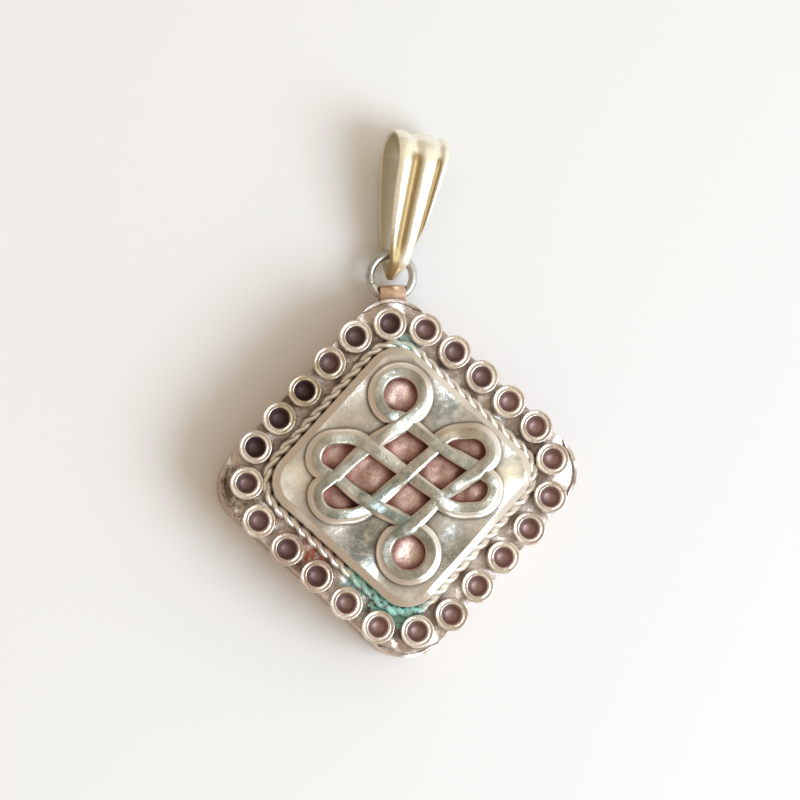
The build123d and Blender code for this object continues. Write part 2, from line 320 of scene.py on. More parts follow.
def crevice(reach, start, stop):
    """Recipe of painted shade and dirt in corners: darker where walls closer than the reach shut out
    the light.
    """
    def mask(tree, place):
        open_sky = add(tree, "ShaderNodeAmbientOcclusion", {"Distance": reach * MM}, samples=6)
        span = {"From Min": start, "From Max": stop, "To Min": 1.0, "To Max": 0.0}
        return add(tree, "ShaderNodeMapRange", {"Value": open_sky.outputs["AO"], **span}).outputs[0]
    return mask


def sloping(start, stop):
    """Recipe of a paler band on edges, painted sheen and rubbing: where the surface leans away
    from level, by the upright part of its normal."""
    def mask(tree, place):
        normal = add(tree, "ShaderNodeNewGeometry").outputs["Normal"]
        upright = add(tree, "ShaderNodeSeparateXYZ", {"Vector": normal}).outputs["Z"]
        span = {"From Min": start, "From Max": stop, "To Min": 1.0, "To Max": 0.0}
        return add(tree, "ShaderNodeMapRange", {"Value": upright, **span}).outputs[0]
    return mask


print("a 2 mm mark has the scale", per_mm(2.0))

# %% Tone, scratches and bumps
SCRATCH_ANGLES = (38, -21)
SCRATCH_WIDTH, SCRATCH_STRETCH = 0.16, 14.0


def dirty_tone(tree, place, clouds, light, dark, dirt, dirt_amount, patch):
    """Colour of the bare metal: a slow noise picks between two tones, and dirt comes in where
    the clouds are thick."""
    drift = add(
        tree,
        "ShaderNodeTexNoise",
        {"Vector": place, "Scale": per_mm(patch), "Detail": 4.0, "Roughness": 0.6},
    )
    tone = add(
        tree,
        "ShaderNodeValToRGB",
        {"Fac": drift.outputs["Fac"]},
        stops=[(0.35, linear(dark)), (0.62, linear(light))],
    )
    span = {"From Min": 0.5, "From Max": 0.75, "To Max": dirt_amount}
    spread = add(tree, "ShaderNodeMapRange", {"Value": clouds, **span})
    return add(
        tree,
        "ShaderNodeMix",
        {"Factor": spread.outputs["Result"], "A": tone.outputs["Color"], "B": linear(dirt)},
        data_type="RGBA",
    ).outputs["Result"]


def scratched(tree, place):
    """Scratches that run two ways: the larger of two noises, each drawn out along its way."""
    hairs = {}
    for number, angle in enumerate(SCRATCH_ANGLES):
        turn = (0.0, 0.0, np.radians(angle))
        stretch = (SCRATCH_STRETCH, 1.0, SCRATCH_STRETCH)
        drawn_out = add(
            tree,
            "ShaderNodeMapping",
            {"Vector": place, "Rotation": turn, "Scale": stretch},
            vector_type="TEXTURE",
        )
        hairs[number] = add(
            tree,
            "ShaderNodeTexNoise",
            {"Vector": drawn_out.outputs[0], "Scale": per_mm(SCRATCH_WIDTH), "Detail": 2.0},
        ).outputs["Fac"]
    return add(tree, "ShaderNodeMath", hairs, operation="MAXIMUM").outputs[0]


def uneven(tree, place, scratches, clouds, patch, waves):
    """Normal of a surface worked by hand: three bumps, each on the one before, from scratches,
    from small dents where the dirt lies, and from slow waves."""
    hollows = add(
        tree,
        "ShaderNodeTexNoise",
        {"Vector": place, "Scale": per_mm(1.3 * patch), "Detail": 0.0},
    ).outputs["Fac"]
    below = {}
    layers = [(scratches, 0.14, 0.02), (clouds, 0.4, 0.12), (hollows, 1.0, waves)]
    for height, strength, depth in layers:
        raised = {"Height": height, "Strength": strength, "Distance": depth * MM}
        below = {"Normal": add(tree, "ShaderNodeBump", {**raised, **below}).outputs[0]}
    return below["Normal"]


print("scratch angles", SCRATCH_ANGLES)

# %% Worn metal recipe
def stained(tree, place, color, gloss, shine, stains):
    """Lays stains, painted shade and painted sheen over a metal, each a mask, a colour and the
    share by which it hides the shine. Gives the colour, the roughness and, where a stain hides
    the shine, what is left of it: the product of the shares that the stains leave."""
    bare = None
    for make_mask, stain, cover in stains:
        mask = make_mask(tree, place)
        mixed = {"Factor": mask, "A": color, "B": linear(stain)}
        color = add(tree, "ShaderNodeMix", mixed, data_type="RGBA").outputs["Result"]
        if not cover:
            continue
        ends = {"To Min": shine if bare is None else 1.0, "To Max": 1.0 - cover}
        left = add(tree, "ShaderNodeMapRange", {"Value": mask, **ends}).outputs[0]
        if bare is not None:
            left = add(tree, "ShaderNodeMath", {0: bare, 1: left}, operation="MULTIPLY").outputs[0]
        bare = left
        dulled = {"Factor": mask, "A": gloss, "B": 0.3 + 0.5 * cover}
        gloss = add(tree, "ShaderNodeMix", dulled, data_type="FLOAT").outputs["Result"]
    return color, gloss, bare


def worn_metal(
    name, light, dark, dirt,
    roughness=0.32, dirt_amount=0.5, patch=4.0, shine=1.0, waves=0.3, stains=(),
):
    """Material of worn metal: tones, dirt and scratches by noise of three sizes, then stains.
    The patch is the size of a tone's patch, and the waves are the slow ups and downs of a
    surface hammered and filed by hand, both in millimetres."""
    material, tree, shader = new_material(name)
    place = add(tree, "ShaderNodeTexCoord").outputs["Object"]
    clouds = add(
        tree,
        "ShaderNodeTexNoise",
        {"Vector": place, "Scale": per_mm(patch / 5), "Detail": 6.0, "Roughness": 0.7},
    ).outputs["Fac"]
    scratches = scratched(tree, place)
    span = {"From Min": 0.45, "From Max": 0.75, "To Min": roughness - 0.08, "To Max": roughness + 0.14}
    gloss = add(tree, "ShaderNodeMapRange", {"Value": scratches, **span}).outputs[0]
    color = dirty_tone(tree, place, clouds, light, dark, dirt, dirt_amount, patch)
    color, gloss, bare = stained(tree, place, color, gloss, shine, stains)
    tree.links.new(color, shader.inputs["Base Color"])
    tree.links.new(gloss, shader.inputs["Roughness"])
    tree.links.new(uneven(tree, place, scratches, clouds, patch, waves), shader.inputs["Normal"])
    shader.inputs["Metallic"].default_value = shine
    if bare is not None:
        tree.links.new(bare, shader.inputs["Metallic"])
    return material


print("metal recipe ready")

# %% Stains, painted shade and painted sheen of this box
# Each stain near a point has its middle, full and outer radius and grain in millimetres,
# then its edge and fill where these differ, its colour, and how much it hides the shine
bottom_corner = (-1.2, -12.4, 6.6)
left_of_corner = (-4.8, -10.4, 6.6)
top_corner = (1.2, 13.2, 6.8)
verdigris = [
    (near(bottom_corner, 2.5, 6.5, 0.8), "#4c463e", 0.4),
    (near(bottom_corner, 2.0, 6.5, 0.5, 0.10, 0.27), "#b2e3d7", 0.85),
    (near(left_of_corner, 1.0, 4.5, 0.5, 0.10, 0.24), "#b2e3d7", 0.85),
    (near(top_corner, 1.0, 4.5, 0.4, 0.08, 0.20), "#c4e3d9", 0.85),
]
copper_blush = [(near((-8.2, -6.8, 7.0), 2.0, 6.0, 0.5, 0.14, 0.22), "#b4614a", 0.2)]
# Painted shade and dirt: darker where walls close in, as between the tubes and round the raised box
dirt_and_corner_shade = [(crevice(1.4, 0.10, 0.64), "#6b574d", 0.4)]
# Painted shade: the plate's left side, away from the lamp, and its left corner, where the tubes'
# shadow falls, are darker olive brown
painted_left_shade = [
    (near((-10.5, 5.5, 6.2), 4.0, 11.0, 0.8, 0.30, 0.24), "#7d6752", 0.1),
    (near((-16.5, -0.5, 6.2), 1.5, 6.0, 0.7), "#7c6d50", 0.2),
]
# Painted shade and dirt: darker at the foot of raised parts, as round the knot and the loop
foot_shade_and_dirt = [(crevice(1.3, 0.52, 0.93), "#503a2f", 0.5)]
face_film_and_sheen = [
    # Painted sheen: paler cream at the right and left corners of the face
    (near((9.5, -0.5, 9.6), 1.0, 6.0, 2.0), "#fdf6dd", 0.0),
    (near((-9.5, 0.5, 9.6), 1.0, 5.0, 2.0), "#f7efe0", 0.0),
    (near((-4.5, -6.5, 9.6), 1.5, 5.5, 0.9), "#878c86", 0.0),
    (near((4.5, -7.0, 9.6), 1.0, 5.0, 0.9), "#989c95", 0.0),
    (near((4.5, 7.0, 9.6), 1.0, 5.0, 0.8), "#8f938c", 0.0),
    # Painted sheen and rubbing: paler on the sloping edges
    (sloping(0.82, 0.98), "#dfd5c8", 0.0),
    (near((-9.2, -7.4, 8.8), 1.0, 4.0, 0.45, 0.14, 0.18), "#a8654f", 0.1),
]
knot_film_and_sheen = [
    (near((-2.0, -3.0, 10.0), 2.0, 9.0, 1.2), "#87918c", 0.0),
    # Painted sheen: paler towards the upper right
    (near((5.0, 5.5, 10.0), 1.5, 7.0, 1.5), "#ddd5c2", 0.0),
    # Painted sheen: paler bevels and skirts
    (painted("edge", 0.2, 1.0), "#e3d9cc", 0.1),
]
tube_tones_and_shade = [
    # Painted shade: tubes on the left, away from the lamp, are darker, pinker below and yellower above
    (near((-10.0, -8.0, 8.0), 3.0, 12.0, 2.0), "#c9b5aa", 0.0),
    (near((-9.0, 9.0, 8.0), 3.0, 11.0, 2.0), "#b9ab93", 0.0),
    (painted("inside", 0.72, 0.82), "#b0938f", 0.3),
    # Painted shade: bores darker towards the upper left
    (painted("gloom", 0.3, 1.1), "#533d3c", 0.4),
]
bail_shade_and_tone = [
    # Painted shade: brown in the flutes and darker on the tip's left side
    (painted("groove", 0.15, 0.7), "#aa9164", 0.3),
    # Darker, greyer inside of the fold
    (painted("inside", 0.3, 0.7), "#c6baa0", 0.3),
]
on_plates = verdigris + copper_blush + dirt_and_corner_shade + painted_left_shade + foot_shade_and_dirt + face_film_and_sheen
print("stains", len(on_plates + knot_film_and_sheen + tube_tones_and_shade + bail_shade_and_tone))

# %% Finishes of the box
# Rolled brass rubbed dull: a soft warm yellow with broad highlights
brass_lid = worn_metal("satin_brass", "#c9ad87", "#a58a67", "#634d35")
# Old brass sheet browned by hands: pinkish, with dark clouds
brass_case = worn_metal("tarnished_brass", "#dabda3", "#b39178", "#775343", dirt_amount=0.7, shine=0.9)
# Thin silvered sheet hammered by hand: small wavy glints between dirt, painted shade in its corners
# and on its left side, green at two corners
plate_silver = worn_metal(
    "tarnished_silver", "#f8efe8", "#d3c6be", "#8a766f",
    dirt_amount=0.7, roughness=0.13, shine=0.85, patch=1.8, waves=1.3,
    stains=dirt_and_corner_shade + painted_left_shade + copper_blush + verdigris,
)
# The same sheet bent to a wall and less rubbed: greyer, with softer glints, and the same painted shade
# in corners and on the left
wall_silver = worn_metal(
    "blackened_silver", "#f4ebe0", "#c8bbaf", "#7d6a60",
    dirt_amount=0.6, roughness=0.22, shine=0.9,
    stains=dirt_and_corner_shade + painted_left_shade + copper_blush + verdigris,
)
# Silver sheet filed flat and worn: cloudy grey that mirrors the room, with painted sheen on its bevel
# and two corners and painted shade and dirt at the knot's foot
face_silver = worn_metal(
    "scratched_silver", "#ebe4d8", "#c0bab0", "#8b8e89",
    roughness=0.13, dirt_amount=0.45, patch=3.5, shine=0.78, waves=1.2,
    stains=face_film_and_sheen + foot_shade_and_dirt,
)
# Bare copper gone dull: rose with few highlights, red brown painted shade in the corners
rose_copper = worn_metal(
    "oxidised_copper", "#ead2c1", "#b08a82", "#85584f",
    roughness=0.28, dirt_amount=0.6, patch=1.6, shine=0.75, waves=0.8,
    stains=[(crevice(1.2, 0.45, 0.92), "#7b4238", 0.4)],
)
# Silver that fingers have polished: grey green mirror on top, creamy bevels and a paler upper right of
# painted sheen
knot_silver = worn_metal(
    "rubbed_silver", "#d6d3c8", "#9a9c94", "#7a7d77",
    roughness=0.13, dirt_amount=0.45, patch=3.0, waves=1.2, stains=knot_film_and_sheen,
)
# Drawn wire twisted in pairs: bright creamy beads with thin dark lines between them
wire_silver = worn_metal(
    "bright_wire", "#fdf8ee", "#fbf3e6", "#a8978a",
    roughness=0.18, dirt_amount=0.3, shine=0.6, stains=verdigris,
)
# Drawn tube with a polished rim: pale rings that glint, round dull rose bores; painted shade darkens
# the tubes on the left and the bores to the upper left
tube_brass = worn_metal(
    "pale_brass", "#faf1e7", "#d6cac0", "#9c8b82",
    roughness=0.13, dirt_amount=0.6, patch=3.0, stains=tube_tones_and_shade,
)
# Copper strip reddened by the torch: light orange, dark at its foot with painted shade and dirt
loop_copper = worn_metal(
    "soldered_copper", "#f9d9c1", "#e0b59c", "#996e5b", shine=0.9, stains=foot_shade_and_dirt
)
# Drawn nickel wire: smooth and grey, with a narrow highlight along it
ring_steel = worn_metal("nickel_wire", "#d2d2ce", "#adaeaa", "#77756f", roughness=0.16, waves=0.1)
# Plated sheet: smooth creamy gold, with brown painted shade in the flutes, darker on the tip's left
# side and greyer inside the fold
pale_gold = worn_metal(
    "pale_gold_plate", "#fdf9ea", "#fdf5da", "#dccfa9",
    roughness=0.16, dirt_amount=0.3, waves=0.15, shine=0.7, stains=bail_shade_and_tone,
)
print("finishes", len(bpy.data.materials))

# %% [markdown]
# ## Plates and walls
# The lid, the walls, the front plate, the raised face, its copper ground and the hanging
# loop could be made again as surfaces, but they are right as solids, so they stay. Real
# sheet has no knife edges: a weld joins each solid's loose faces and a small bevel rounds
# its edges, which then catch the light.

# %% Finish the solids that stay
def soften(node, width):
    """Welds a solid's faces and rounds its sharp edges by a width in millimetres."""
    solid = frame["nodes"][node]
    weld = solid.modifiers.new("weld", "WELD")
    weld.merge_threshold = 0.002 * MM
    bevel = solid.modifiers.new("round", "BEVEL")
    bevel.width = width * MM
    bevel.segments = 2
    bevel.limit_method = "ANGLE"
    bevel.angle_limit = np.radians(35)
    bevel.harden_normals = True


kept = {
    "lid_plate": (brass_lid, 0.12),
    "lid_collar": (brass_lid, 0.06),
    "case_wall": (brass_case, 0.08),
    "front_plate": (plate_silver, 0.05),
    "raised_wall": (wall_silver, 0.05),
    "face_plate": (face_silver, 0.06),
    "backing_plate": (rose_copper, 0.05),
    "hanging_loop": (loop_copper, 0.08),
}
for node, (finish, width) in kept.items():
    frame["nodes"][node].data.materials.clear()
    frame["nodes"][node].data.materials.append(finish)
    soften(node, width)
print("solids kept", len(kept))

# %% [markdown]
# ## Tube settings
# Each setting is a short length of thick tube, soldered upright and now empty. Its rim has
# a lip and its bore narrows like a funnel. A profile turned about the tube's own axis makes
# it; one end cap is the floor of the bore. One tube could be copied round the row, but the
# row is made by hand, so each tube is turned anew, a little oval and with its own tilt of
# the rim. The bores are darkest towards the upper left, painted shade on the side away
# from the lamp.

# %% Turn the settings
TUBE_TOP, TUBE_SIDES = 1.745, 56
# Painted shade in the bores: its base share, and how slowly it grows towards the upper left
BORE_START, GLOOM, GLOOM_REACH = 0.76, 0.45, 40
# Least and most of the oval, the rim's tilt, the angle of both, and the bore's own share of painted
# shade
LEAST, MOST = (0.004, 0.01, 0, -0.3), (0.016, 0.035, 6.28, 0.3)
# Radius and height, up the outside, over the lipped rim and down the bore
tube_profile = np.array([
    (1.52, 0.00), (1.65, 0.02), (1.66, 0.10), (1.66, 0.60), (1.67, 1.10), (1.675, 1.55),
    (1.665, 1.65), (1.635, 1.715), (1.585, 1.745), (1.52, 1.745), (1.45, 1.715), (1.37, 1.69),
    (1.28, 1.69), (1.20, 1.715), (1.13, 1.735), (1.07, 1.715), (1.02, 1.65), (0.96, 1.45),
    (0.88, 1.15), (0.78, 0.85), (0.62, 0.62), (0.40, 0.50), (0.16, 0.46),
])
random = np.random.default_rng(24)


def setting(name, place):
    """Tube about an upright axis: the profile's radius at each angle, made oval by the cosine
    of twice the angle, and its rim tilted by the cosine of the angle."""
    angle = np.linspace(0, 2 * np.pi, TUBE_SIDES, endpoint=False)
    oval, lean, start, mood = random.uniform(LEAST, MOST)
    radius = tube_profile[:, :1] * (1 + oval * np.cos(2 * (angle - start)))
    rise = (tube_profile[:, 1:] / TUBE_TOP) ** 3
    height = tube_profile[:, 1:] + lean * rise * np.cos(angle - start)
    x = place[0] + radius * np.cos(angle)
    y = place[1] + radius * np.sin(angle)
    z = place[2] + height
    inside = np.repeat(np.linspace(0, 1, len(tube_profile))[:, None], len(angle), 1)
    # Painted shade inside the bore, more towards the upper left
    gloom = np.where(inside > BORE_START, GLOOM + (place[1] - place[0]) / GLOOM_REACH + mood, 0)
    masks = {"inside": inside, "gloom": gloom}
    return surface(name, np.stack([x, y, z], -1), caps=True, masks=masks)


tube_nodes = sorted(name for name in frame["nodes"] if name.startswith("tube_setting"))
for node in tube_nodes:
    low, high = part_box(node)
    middle = ((low.x + high.x) / 2 / MM, (low.y + high.y) / 2 / MM, low.z / MM)
    dress(setting(node.replace("setting", "rim"), middle), "case", node, tube_brass)
print("settings", len(tube_nodes))

# %% [markdown]
# ## Twisted wire
# Two wires twisted together lie round the foot of the raised box. A striped material on a
# plain wire would look flat from the side, so both wires are real: each is a round profile
# carried along a helix, and the helix follows a rounded square. The bright beads are about
# 1.5 mm apart, which is half a turn of a two-strand twist.

# %% Paths with rounded corners
BEND_POINTS = 25


def even(path, step):
    """Closed path of points spaced evenly: its corners are read back at equal steps of the
    length run along it."""
    ring = np.vstack([path, path[:1]])
    run = np.concatenate([[0], np.cumsum(np.linalg.norm(np.diff(ring[:, :2], axis=0), axis=1))])
    count = int(round(run[-1] / step))
    places = np.linspace(0, run[-1], count, endpoint=False)
    columns = [np.interp(places, run, ring[:, n]) for n in range(ring.shape[1])]
    return np.stack(columns, -1), run[-1]


def bend(corner, before, after, radius):
    """Arc that rounds a corner: it leaves one run and joins the next at the radius times the
    tangent of half the turn, about a centre on the line that halves the corner."""
    into = (corner - before) / np.linalg.norm(corner - before)
    away = (after - corner) / np.linalg.norm(after - corner)
    cross = into[0] * away[1] - into[1] * away[0]
    total = np.arctan2(cross, into @ away)
    normal = np.sign(total) * np.array([-into[1], into[0]])
    first = corner - into * radius * np.tan(abs(total) / 2)
    centre = first + normal * radius
    swing = np.linspace(0, total, BEND_POINTS)
    arm = first - centre
    x = centre[0] + arm[0] * np.cos(swing) - arm[1] * np.sin(swing)
    y = centre[1] + arm[0] * np.sin(swing) + arm[1] * np.cos(swing)
    return np.stack([x, y], -1)


def rounded_square(half, radius, step):
    """Rounded square that stands on its corner, as a closed path."""
    tips = half * np.sqrt(2) * np.array([(0, 1), (-1, 0), (0, -1), (1, 0)])
    arcs = [bend(tips[n], tips[n - 1], tips[(n + 1) % 4], radius) for n in range(4)]
    return even(np.vstack(arcs), step)


print("points on a bend", BEND_POINTS)

# %% Twist the wires
ROPE_CORE, ROPE_WIRE, ROPE_SIDES = 0.20, 0.33, 12
ROPE_PITCH, ROPE_STEP = 3.0, 0.14
ROPE_CORNER, ROPE_INSET = 3.615, 0.30


def frame_along(path):
    """Unit direction and level left side of a closed path at each of its points."""
    ahead = np.roll(path, -1, 0) - np.roll(path, 1, 0)
    ahead = ahead / np.linalg.norm(ahead, axis=1, keepdims=True)
    return ahead, np.stack([-ahead[:, 1], ahead[:, 0]], -1)


def strand(name, path, level, turns, phase):
    """One wire of the twist: a helix about the path, whose angle grows with the length run,
    with a circle about every point of it in the plane square to the path."""
    left = frame_along(path)[1]
    spin = np.linspace(0, 2 * np.pi * turns, len(path), endpoint=False) + phase
    around = np.linspace(0, 2 * np.pi, ROPE_SIDES, endpoint=False)
    out = ROPE_CORE * np.cos(spin)[:, None] + ROPE_WIRE * np.cos(around)
    up = ROPE_CORE * np.sin(spin)[:, None] + ROPE_WIRE * np.sin(around)
    flat = path[:, None, :] + out[..., None] * left[:, None, :]
    grid = np.concatenate([flat, (level + up)[..., None]], -1)
    return surface(name, grid, closed_rows=True)


low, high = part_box("rope_border")
rope_level = low.z / MM + ROPE_CORE + ROPE_WIRE
rope_half = (high.x / MM - ROPE_INSET - ROPE_CORNER) / np.sqrt(2) + ROPE_CORNER
path, length = rounded_square(rope_half, ROPE_CORNER, ROPE_STEP)
turns = int(round(length / ROPE_PITCH))
for number in (0, 1):
    wire = strand(f"twisted_wire_{number + 1}", path, rope_level, turns, number * np.pi)
    dress(wire, "case", "rope_border", wire_silver)
print("wire", round(length, 1), "mm round,", turns, "turns")

# %% [markdown]
# ## Endless knot
# The knot is one closed strand that crosses itself nine times. It could be cut out of one
# plate, but then the weave would be missing. So its line is drawn once round as straight
# runs, bends and two loops, and a bevelled profile is carried along it. At every crossing
# the strand goes over or under in turn, so its height rises and dips there.
# Where it meets the face outside, it has a low rounded skirt. Along a hole it has none and
# is slimmer, because the holes were cut wide.

# %% Line of the knot
KNOT_WIDTH, KNOT_HEIGHT = 6.95, 5.2
LOOP_RISE, OVERHANG, LOOP_TOP = 2.65, 1.7, 3.6
HEEL, CORNER_SHARE = 0.985, 0.97
KNOT_STEP = 0.1
knot_angle = np.arctan2(KNOT_HEIGHT, KNOT_WIDTH)
slope = np.tan(knot_angle)
loop_radius = LOOP_RISE * np.cos(knot_angle)
drop = LOOP_TOP - slope * OVERHANG
corner = CORNER_SHARE * (drop - HEEL * np.tan((np.pi / 2 - knot_angle) / 2))
rise = (LOOP_TOP - KNOT_HEIGHT / 2) / np.sin(knot_angle)
level = KNOT_WIDTH + OVERHANG - LOOP_TOP / slope - corner
shoulder = rise * level / (rise + level) / np.tan(knot_angle / 2)


def side_loop(x, y):
    """Side loop of one quarter, from the inner crossing out and back to the side tip."""
    stations = np.array([
        (KNOT_WIDTH / 2, KNOT_HEIGHT / 2),
        (LOOP_TOP / slope, LOOP_TOP),
        (KNOT_WIDTH + OVERHANG, LOOP_TOP),
        (KNOT_WIDTH + OVERHANG, slope * OVERHANG),
        (KNOT_WIDTH, 0),
    ]) * (x, y)
    radii = (shoulder, corner, HEEL)
    arcs = [bend(stations[n + 1], stations[n], stations[n + 2], radii[n]) for n in range(3)]
    return np.vstack([stations[:1], *arcs, stations[-1:]])


def end_loop(y):
    """Round loop at the top or the bottom: an arc about a point above the crossing, from its
    right side over to its left side."""
    swing = np.linspace(knot_angle - np.pi / 2, 3 * np.pi / 2 - knot_angle, 80)
    middle = KNOT_HEIGHT + LOOP_RISE
    return np.stack([loop_radius * np.cos(swing), y * (middle + loop_radius * np.sin(swing))], -1)


def inner(x, y):
    """Inner crossing of one quarter."""
    return np.array([(x * KNOT_WIDTH / 2, y * KNOT_HEIGHT / 2)])


tip_left = np.array([(-KNOT_WIDTH, 0)])
top, bottom = np.array([(0, KNOT_HEIGHT)]), np.array([(0, -KNOT_HEIGHT)])
# Points of each stretch, then whether the strand has a skirt on its left and on its right
stretches = [
    (tip_left, 0, 0), (inner(-1, 1), 1, 0), (top, 0, 1), (end_loop(1), 0, 1), (top, 1, 0),
    (inner(1, 1), 0, 0), (side_loop(1, -1)[::-1], 1, 0), (inner(1, -1), 0, 0),
    (side_loop(-1, 1), 0, 1), (tip_left, 0, 0), (inner(-1, -1), 0, 1), (bottom, 1, 0),
    (end_loop(-1), 1, 0), (bottom, 0, 1), (inner(1, -1), 0, 0), (side_loop(1, 1)[::-1], 0, 1),
    (inner(1, 1), 0, 0), (side_loop(-1, -1), 1, 0),
]
line = np.vstack([
    np.column_stack([points, np.full(len(points), left), np.full(len(points), right)])
    for points, left, right in stretches
])
knot_line, knot_length = even(line, KNOT_STEP)
print("knot line", round(knot_length, 1), "mm long")

# %% Rise and dip at the crossings
OVER_LIFT, UNDER_LIFT = 0.03, -0.10
PASSING_REACH, PASSINGS_APART = 1.25, 3


def run_between(run, place, length):
    """Shorter way round a closed line from each place on it to one place."""
    return np.abs((run - place + length / 2) % length - length / 2)


flat_path = knot_line[:, :2]
ahead, left = frame_along(flat_path)
run = np.arange(len(flat_path)) * knot_length / len(flat_path)
lift = np.zeros(len(flat_path))
meeting = np.zeros(len(flat_path))
for row in (-1, 0, 1):
    for column in (-1, 0, 1):
        crossing = np.array([(row + column) * KNOT_WIDTH, (column - row) * KNOT_HEIGHT]) / 2
        gap = np.linalg.norm(flat_path - crossing, axis=1)
        first = gap.argmin()
        elsewhere = run_between(run, run[first], knot_length) > PASSINGS_APART
        second = np.where(elsewhere, gap, np.inf).argmin()
        for passing in (first, second):
            over = (ahead[passing].prod() > 0) == ((row + column) % 2 == 0)
            away = run_between(run, run[passing], knot_length) / PASSING_REACH
            near_by = np.exp(-(away**4))
            lift += (OVER_LIFT if over else UNDER_LIFT) * near_by
            meeting += near_by
meeting = np.clip(meeting, 0, 1)[:, None]
print("knot dips", round(lift.min(), 2), "mm")

# %% Carry the bevelled profile along the knot
OUTER_HALF, INNER_HALF, LOOP_HALF, SKIRT = 0.835, 0.60, 0.44, 0.34
STRAND_TOP, BEVEL_FOOT = 0.71, 0.5
BEND_FROM, BEND_OVER = 0.20, 0.3
EDGE_FROM, EDGE_OVER = 0.66, 0.05
# Share of the half width, height, and share of the skirt, from the foot to near the middle
half_section = np.array([
    (1.0, -0.30, 1.0), (1.0, 0.22, 1.0), (1.0, 0.34, 0.97), (1.0, 0.42, 0.87), (1.0, 0.475, 0.66),
    (1.0, 0.505, 0.36), (1.0, 0.525, 0.0), (0.97, 0.55, 0.0), (0.886, 0.60, 0.0),
    (0.778, 0.655, 0.0), (0.671, 0.695, 0.0), (0.575, 0.71, 0.0), (0.24, 0.71, 0.0),
])


def half_strand(own, other):
    """Distance of the half section from the line. A side with a skirt has the full width; a
    side along a hole is slimmer, and slimmest inside a loop, where the other side has one."""
    wider = (OUTER_HALF - INNER_HALF) * own
    slimmer = (INNER_HALF - LOOP_HALF) * other * (1 - own)
    return half_section[:, 0] * (INNER_HALF + wider - slimmer) + half_section[:, 2] * SKIRT * own


low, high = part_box("endless_knot")
knot_middle = np.array([(low.x + high.x) / 2, (low.y + high.y) / 2]) / MM
knot_foot = low.z / MM
left_skirt, right_skirt = knot_line[:, 2:3], knot_line[:, 3:4]
left_side = half_strand(left_skirt, right_skirt)
right_side = -half_strand(right_skirt, left_skirt)[:, ::-1]
across = np.hstack([left_side, right_side])
heights = np.concatenate([half_section[:, 1], half_section[::-1, 1]])
moved = np.clip((heights - BEND_FROM) / BEND_OVER, 0, 1) * lift[:, None]
# At a crossing the bevel rises halfway to the top, so that it cuts no deep notch there
moved = moved + 0.5 * meeting * np.where(heights > BEVEL_FOOT, STRAND_TOP - heights, 0)
flat = knot_middle + flat_path[:, None, :] + across[..., None] * left[:, None, :]
grid = np.concatenate([flat, (knot_foot + heights + moved)[..., None]], -1)
# Painted sheen on the bevels and skirts, faded at the crossings
edge = (1 - np.clip((heights - EDGE_FROM) / EDGE_OVER, 0, 1)) * (1 - 0.7 * meeting)
knot = surface("woven_knot", grid, closed_rows=True, masks={"edge": edge})
dress(knot, "case", "endless_knot", knot_silver)
print("knot points", grid.shape[0] * grid.shape[1])

# %% [markdown]
# ## Jump ring
# A round wire bent to a ring joins the bail to the hanging loop. Blender's own torus has no
# ends, so the ring is a circle carried round a larger circle, with a fine slit where the
# cut ends of the wire meet. It lies almost flat and rises a little from loop to bail.

# %% Bend the jump ring
RING_MEAN, RING_WIRE = 2.2, 0.45
SLIT_PLACE, SLIT = 200.0, 3.0
RING_TILT = np.radians(1.543)
ring_pivot = np.array(joints["ring_swing"]["pos_m"]) / MM
run = np.radians(np.linspace(SLIT_PLACE, SLIT_PLACE + 360.0 - SLIT, 120))[:, None]
around = np.linspace(0, 2 * np.pi, 24, endpoint=False)
radius = RING_MEAN + RING_WIRE * np.cos(around)
rise = np.broadcast_to(RING_WIRE * np.sin(around), (len(run), len(around)))
along = RING_MEAN + radius * np.sin(run)
# The small circle's cosine adds to the radius and its sine to the height, then all tilts
grid = ring_pivot + np.stack([
    radius * np.cos(run),
    along * np.cos(RING_TILT) - rise * np.sin(RING_TILT),
    along * np.sin(RING_TILT) + rise * np.cos(RING_TILT),
], -1)
dress(surface("wire_ring", grid, caps=True), "ring", "jump_ring", ring_steel)
print("ring outside", round(2 * (RING_MEAN + RING_WIRE), 2), "mm")

# %% [markdown]
# ## Fluted bail
# The bail is a leaf of sheet metal, pressed with two flutes and folded over, its two tips
# soldered together under the ring. A flat leaf could be bent by modifiers, but a formula
# for the folded sheet keeps the flutes where the photograph has them. One parameter runs
# along the fold from tip to tip, the other goes round the strip: over the ribbed outside
# and back along the smooth inside.

# %% Side line of the bail
TIP_TO_EYE, BAIL_LENGTH = 2.6, 15.3
EYE_OUT, TOP_OUT, TIP_OUT, SHEET = 1.87, 3.1, 0.35, 0.65
TOP_PLACE = BAIL_LENGTH - TOP_OUT


def tangent(low_place, low_radius, high_place, high_radius):
    """Angle from square at which one straight side touches two circles on the long axis."""
    return np.arcsin((high_radius - low_radius) / (high_place - low_place))


def circle(place, radius, start, stop, count):
    """Points of a circle on the long axis as distance along and height."""
    swing = np.linspace(start, stop, count)
    return np.stack([place + radius * np.sin(swing), radius * np.cos(swing)], -1)


